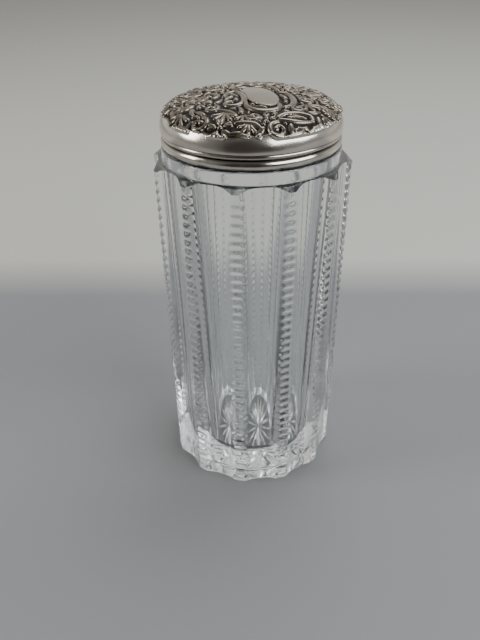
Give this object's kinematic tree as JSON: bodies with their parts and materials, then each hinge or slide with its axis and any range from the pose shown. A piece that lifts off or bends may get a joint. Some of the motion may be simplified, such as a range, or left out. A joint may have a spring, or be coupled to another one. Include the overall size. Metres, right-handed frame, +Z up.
{
  "type": "powder jar",
  "caption": "Tall twelve-sided pressed-glass powder jar with notched ridges and a lift-off domed silver lid.",
  "frame": {"origin": "middle of the foot, at the height of the surface that the jar stands on", "axes": "+Z up along the jar's axis; one glass panel faces +X and another faces -Y"},
  "size_m": [0.0614, 0.0614, 0.1327],
  "materials": {
    "clear_glass": "fire-polished clear pressed glass",
    "silver_top": "sheet silver, stamped, with a dark tarnish in the hollows and a polished border",
    "silver_band": "sheet silver, smooth",
    "silver_trim": "polished drawn silver wire"
  },
  "bodies": {
    "jar": {"glass_jar": "clear_glass"},
    "lid": {"lid_band": "silver_band", "lid_top": "silver_top", "rim_moulding": "silver_trim", "seam_wire": "silver_trim"}
  },
  "joints": [
    {"name": "lid_lift", "type": "slide", "parent": "jar", "child": "lid", "axis": [0, 0, 1], "range_m": [0, 0.05]}
  ]
}
